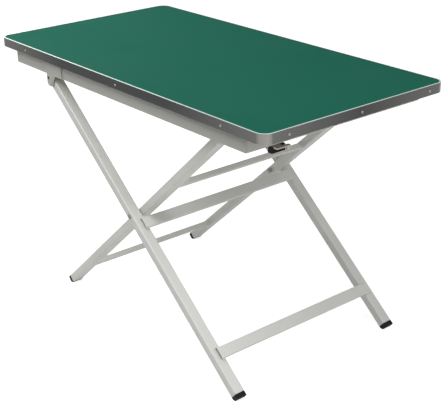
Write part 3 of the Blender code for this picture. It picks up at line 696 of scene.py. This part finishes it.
def foot_rim(sizes, leg, along, out):
    """The rim of a foot plug that laps over the end of its leg, cut off at the floor."""
    down = -out
    tube_end = reach(leg, along)[0]
    upper_face, lower_face = reach(leg, down)
    near_face, far_face = reach(leg, ACROSS)
    length = sizes.on_tube + sizes.past_tube
    half = length / 2
    deselect_all()
    bpy.ops.mesh.primitive_cube_add(size=1.0, scale=(lower_face - upper_face + 2 * sizes.proud,
                                                     far_face - near_face + 2 * sizes.proud, length))
    rim = start_shaping()
    select_in_mesh(rim, lambda edge: abs(edge.verts[0].co.z - edge.verts[1].co.z) > half, "EDGE")
    bpy.ops.mesh.bevel(offset=sizes.corner_radius, segments=sizes.corner_steps, profile=ROUND_PROFILE)
    round_rim(rim, half / 2, sizes.edge_round, sizes.edge_steps)
    bpy.ops.object.mode_set(mode="OBJECT")
    centre = (along * (tube_end + (sizes.on_tube - sizes.past_tube) / 2)
              + down * ((upper_face + lower_face) / 2) + ACROSS * ((near_face + far_face) / 2))
    turned = Matrix((down, ACROSS, along)).transposed().to_4x4()
    rim.data.transform(Matrix.Translation(centre) @ turned)
    bpy.ops.object.mode_set(mode="EDIT")
    bpy.ops.mesh.select_all(action="SELECT")
    bpy.ops.mesh.bisect(plane_co=(0.0, 0.0, 0.0), plane_no=UPWARD, use_fill=True, clear_inner=True)
    close_mesh()
    bpy.ops.object.shade_smooth_by_angle(angle=SMOOTH_ANGLE)
    return rim


def hole_plug(sizes):
    """A plug with a domed head on the plane z = 0 and its stem below."""
    deselect_all()
    bpy.ops.mesh.primitive_cylinder_add(vertices=sizes.points_round, radius=sizes.head_radius,
                                        depth=sizes.head_height, location=(0.0, 0.0, sizes.head_height / 2))
    plug = start_shaping()
    select_in_mesh(plug, lambda face: face.normal.z < -FACING, "FACE")
    bpy.ops.mesh.inset(thickness=sizes.head_radius - sizes.stem_radius)
    bpy.ops.mesh.extrude_region_move(TRANSFORM_OT_translate={"value": (0.0, 0.0, -sizes.stem_length)})
    round_rim(plug, sizes.head_height / 2, sizes.head_round, sizes.round_steps)
    close_mesh()
    bpy.ops.object.shade_smooth_by_angle(angle=SMOOTH_ANGLE)
    return plug


# Operators

class GROOMING_OT_finish_top(bpy.types.Operator):
    """Gives the mat, the board and the edge trim their finishes"""
    bl_idname = "grooming_table.finish_top"
    bl_label = "Finish Top"

    def execute(self, context):
        finishes = context.scene.table_finishes
        coat_nodes(pebbled_green_rubber(finishes), "rubber_mat")
        coat_nodes(pale_faced_board(finishes), "table_board")
        coat_nodes(satin_extruded_aluminium(finishes), "edge_trim")
        return {"FINISHED"}


class GROOMING_OT_finish_frame(bpy.types.Operator):
    """Gives the rails and the pivot brackets their enamel"""
    bl_idname = "grooming_table.finish_frame"
    bl_label = "Finish Frame"

    def execute(self, context):
        enamel = warm_grey_enamel(context.scene.table_finishes)
        coat_nodes(enamel, "end_rail_left", "end_rail_right", *on_both_sides("side_rail", "pivot_bracket"))
        return {"FINISHED"}


class GROOMING_OT_finish_legs(bpy.types.Operator):
    """Gives the legs and their cross bars their powder coat"""
    bl_idname = "grooming_table.finish_legs"
    bl_label = "Finish Legs"

    def execute(self, context):
        coat = silver_powder_coat(context.scene.table_finishes)
        coat_nodes(coat, "outer_stop_bar", "outer_low_bar", "inner_upper_bar", "inner_low_bar",
                   *on_both_sides("outer_leg", "inner_leg"))
        return {"FINISHED"}


class GROOMING_OT_finish_plugs(bpy.types.Operator):
    """Gives the plugs, caps and spacers their black plastic"""
    bl_idname = "grooming_table.finish_plugs"
    bl_label = "Finish Plugs"

    def execute(self, context):
        plastic = black_polyethylene(context.scene.table_finishes)
        coat_nodes(plastic, *on_both_sides("outer_foot", "outer_top_plug", "inner_foot", "inner_top_cap",
                                           "cross_spacer"))
        return {"FINISHED"}


class GROOMING_OT_finish_metalwork(bpy.types.Operator):
    """Gives the catch, the pins, the washers, the bolts and the nuts their finishes"""
    bl_idname = "grooming_table.finish_metalwork"
    bl_label = "Finish Catch and Bolts"

    def execute(self, context):
        finishes = context.scene.table_finishes
        coat_nodes(brown_phenolic(finishes), "catch_block")
        coat_nodes(zinc_plated_steel(finishes), "catch_tongue", "catch_knob",
                   *on_both_sides("pivot_pin", "pivot_washer"))
        coat_nodes(dull_painted_steel(finishes), *on_both_sides("cross_bolt", "cross_nut"))
        return {"FINISHED"}


class GROOMING_OT_trim_screws(bpy.types.Operator):
    """Adds the domed screws that hold the edge trim to the board"""
    bl_idname = "grooming_table.trim_screws"
    bl_label = "Trim Screws"

    def execute(self, context):
        sizes = context.scene.trim_screw_sizes
        pattern = dome_head_screw(sizes)
        for label, side in SIDES:
            self.add_row(sizes, pattern, label, Vector((0.0, side, 0.0)), LENGTHWISE, sizes.side_places)
        for label, side in ENDS:
            self.add_row(sizes, pattern, label, Vector((side, 0.0, 0.0)), ACROSS, sizes.end_places)
        bpy.data.objects.remove(pattern, do_unlink=True)
        return {"FINISHED"}

    def add_row(self, sizes, pattern, label, outward, along, places):
        """Adds the screws along one upright face of the trim."""
        zinc = bpy.data.materials["zinc_plated_steel"]
        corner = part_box("edge_trim")[1]
        start = outward * abs(outward.dot(corner)) + UPWARD * (corner.z - sizes.below_top)
        for number, distance in enumerate(places, start=1):
            place = out_of_face(outward, start + along * distance)
            copy_to(pattern, "trim_screw_" + label + "_" + str(number), place, "top", zinc)


class GROOMING_OT_weld_beads(bpy.types.Operator):
    """Adds the weld beads between the cross bars and the legs"""
    bl_idname = "grooming_table.weld_beads"
    bl_label = "Weld Beads"

    def execute(self, context):
        sizes = context.scene.weld_bead_sizes
        coat = bpy.data.materials["silver_powder_coat"]
        pattern = weld_bead(sizes)
        self.weld_outer_bars(sizes, pattern, coat)
        self.weld_inner_bars(pattern, coat)
        bpy.data.objects.remove(pattern, do_unlink=True)
        return {"FINISHED"}

    def weld_outer_bars(self, sizes, pattern, coat):
        """Beads along both long edges of each bar, where it lies on the legs' upper faces."""
        bars = ("outer_stop_bar", "outer_low_bar")
        along, out = leg_directions(*bars)
        for bar in bars:
            high_edge, low_edge = reach(bar, along)
            under_side = out * reach(bar, out)[0]
            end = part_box(bar)[1].y - sizes.end_margin - sizes.length / 2
            for label, side in SIDES:
                for edge_label, edge in (("low", low_edge), ("high", high_edge)):
                    corner = along * edge + under_side + ACROSS * (side * end)
                    name = "weld_" + bar + "_" + label + "_" + edge_label
                    copy_to(pattern, name, out_of_face(ACROSS, corner), "outer_legs", coat)

    def weld_inner_bars(self, pattern, coat):
        """Beads above and below each bar's ends, where they meet the legs' inner faces."""
        bars = ("inner_low_bar", "inner_upper_bar")
        along, out = leg_directions(*bars)
        for bar in bars:
            low_edge, high_edge = reach(bar, out)
            centre = along * along.dot(middle(bar))
            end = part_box(bar)[1].y
            for label, side in SIDES:
                for edge_label, edge in (("low", low_edge), ("high", high_edge)):
                    corner = centre + out * edge + ACROSS * (side * end)
                    name = "weld_" + bar + "_" + label + "_" + edge_label
                    copy_to(pattern, name, out_of_face(along, corner), "inner_legs", coat)


class GROOMING_OT_foot_rims(bpy.types.Operator):
    """Adds the rims of the foot plugs in the inner legs"""
    bl_idname = "grooming_table.foot_rims"
    bl_label = "Foot Rims"

    def execute(self, context):
        plastic = bpy.data.materials["black_polyethylene"]
        along, out = leg_directions("inner_low_bar", "inner_upper_bar")
        pattern = foot_rim(context.scene.foot_rim_sizes, "inner_leg_near", along, out)
        for label, side in SIDES:
            shift = middle("inner_leg_" + label) - middle("inner_leg_near")
            copy_to(pattern, "inner_foot_rim_" + label, Matrix.Translation(shift), "inner_legs",
                    plastic)
        bpy.data.objects.remove(pattern, do_unlink=True)
        return {"FINISHED"}


class GROOMING_OT_bracket_plugs(bpy.types.Operator):
    """Adds the black plugs in the holes of the pivot brackets"""
    bl_idname = "grooming_table.bracket_plugs"
    bl_label = "Bracket Plugs"

    def execute(self, context):
        sizes = context.scene.bracket_plug_sizes
        plastic = bpy.data.materials["black_polyethylene"]
        pattern = hole_plug(sizes)
        for label, side in SIDES:
            pin = middle("pivot_pin_" + label)
            outer_face = max(abs(corner.y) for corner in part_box("pivot_bracket_" + label))
            hole = Vector((pin.x + sizes.ahead_of_pin, side * outer_face, pin.z + sizes.above_pin))
            place = out_of_face(Vector((0.0, side, 0.0)), hole)
            copy_to(pattern, "bracket_plug_" + label, place, "top", plastic)
        bpy.data.objects.remove(pattern, do_unlink=True)
        return {"FINISHED"}


class GROOMING_OT_studio(bpy.types.Operator):
    """Adds the floor, the light and the camera"""
    bl_idname = "grooming_table.studio"
    bl_label = "Studio"

    def execute(self, context):
        studio = context.scene.studio_settings
        self.make_floor(studio)
        self.make_light(context, studio)
        self.make_camera(context, studio)
        context.scene.view_settings.view_transform = "Standard"
        return {"FINISHED"}

    def make_floor(self, studio):
        """A wide sheet of paper just below the soles."""
        deselect_all()
        bpy.ops.mesh.primitive_plane_add(size=studio.floor_size, location=(0.0, 0.0, -studio.floor_drop))
        floor = bpy.context.object
        floor.name = "studio_floor"
        floor.data.materials.append(seamless_paper(studio))

    def make_light(self, context, studio):
        """A sky that looks white but lights the table weakly, and three lamps."""
        world = bpy.data.worlds.new("white_studio")
        world.use_nodes = True
        context.scene.world = world
        tree = world.node_tree
        sky = tree.nodes["Background"]
        sky.inputs["Color"].default_value = WHITE
        strength = add_node(tree, "ShaderNodeMapRange", {"To Min": studio.sky_strength, "To Max": 1.0},
                            {"Value": seen_directly(tree)})
        tree.links.new(strength.outputs["Result"], sky.inputs["Strength"])
        aim = Vector(studio.camera_aim)
        lamps = (("key_light", studio.key_power, studio.key_size, studio.key_place),
                 ("left_light", studio.left_power, studio.low_lamp_size, studio.left_place),
                 ("end_light", studio.end_power, studio.low_lamp_size, studio.end_place))
        for name, power, size, place in lamps:
            self.add_lamp(context, name, power, size, place, aim)

    def add_lamp(self, context, name, power, size, place, aim):
        """A square soft lamp that looks at a point."""
        lamp = bpy.data.lights.new(name, "AREA")
        lamp.shape = "SQUARE"
        lamp.size = size
        lamp.energy = power
        holder = bpy.data.objects.new(name, lamp)
        holder.location = place
        holder.rotation_euler = (aim - Vector(place)).to_track_quat("-Z", "Y").to_euler()
        context.scene.collection.objects.link(holder)

    def make_camera(self, context, studio):
        """The camera at the photograph's viewpoint."""
        lens = bpy.data.cameras.new("photo_camera")
        lens.sensor_width = SENSOR_WIDTH_MM
        lens.lens = studio.lens
        camera = bpy.data.objects.new("photo_camera", lens)
        camera.location = studio.camera_place
        view = Vector(studio.camera_aim) - Vector(studio.camera_place)
        roll = Quaternion((0.0, 0.0, 1.0), studio.camera_roll)
        camera.rotation_euler = (view.to_track_quat("-Z", "Y") @ roll).to_euler()
        context.scene.collection.objects.link(camera)
        context.scene.camera = camera


class GROOMING_PT_table(bpy.types.Panel):
    """Lists the table's steps, sizes and colours"""
    bl_idname = "GROOMING_PT_table"
    bl_label = "Grooming Table"
    bl_space_type = "VIEW_3D"
    bl_region_type = "UI"
    bl_category = "Grooming Table"

    def draw(self, context):
        for operator in OPERATORS:
            self.layout.operator(operator.bl_idname)
        for settings in SETTINGS:
            group = getattr(context.scene, settings)
            box = self.layout.box()
            for name in group.__annotations__:
                box.prop(group, name)


SETTINGS = {
    "table_finishes": TableFinishes,
    "trim_screw_sizes": TrimScrewSizes,
    "weld_bead_sizes": WeldBeadSizes,
    "foot_rim_sizes": FootRimSizes,
    "bracket_plug_sizes": BracketPlugSizes,
    "studio_settings": StudioSettings,
}
OPERATORS = (GROOMING_OT_finish_top, GROOMING_OT_finish_frame, GROOMING_OT_finish_legs,
             GROOMING_OT_finish_plugs, GROOMING_OT_finish_metalwork, GROOMING_OT_trim_screws,
             GROOMING_OT_weld_beads, GROOMING_OT_foot_rims, GROOMING_OT_bracket_plugs,
             GROOMING_OT_studio)
CLASSES = (*SETTINGS.values(), *OPERATORS, GROOMING_PT_table)


def register():
    for item in CLASSES:
        bpy.utils.register_class(item)
    for name, group in SETTINGS.items():
        setattr(bpy.types.Scene, name, PointerProperty(type=group))


def unregister():
    for name in SETTINGS:
        delattr(bpy.types.Scene, name)
    for item in reversed(CLASSES):
        bpy.utils.unregister_class(item)


def main():
    register()
    bpy.ops.grooming_table.finish_top()
    bpy.ops.grooming_table.finish_frame()
    bpy.ops.grooming_table.finish_legs()
    bpy.ops.grooming_table.finish_plugs()
    bpy.ops.grooming_table.finish_metalwork()
    bpy.ops.grooming_table.trim_screws()
    bpy.ops.grooming_table.weld_beads()
    bpy.ops.grooming_table.foot_rims()
    bpy.ops.grooming_table.bracket_plugs()
    bpy.ops.grooming_table.studio()


if __name__ == "__main__":
    main()
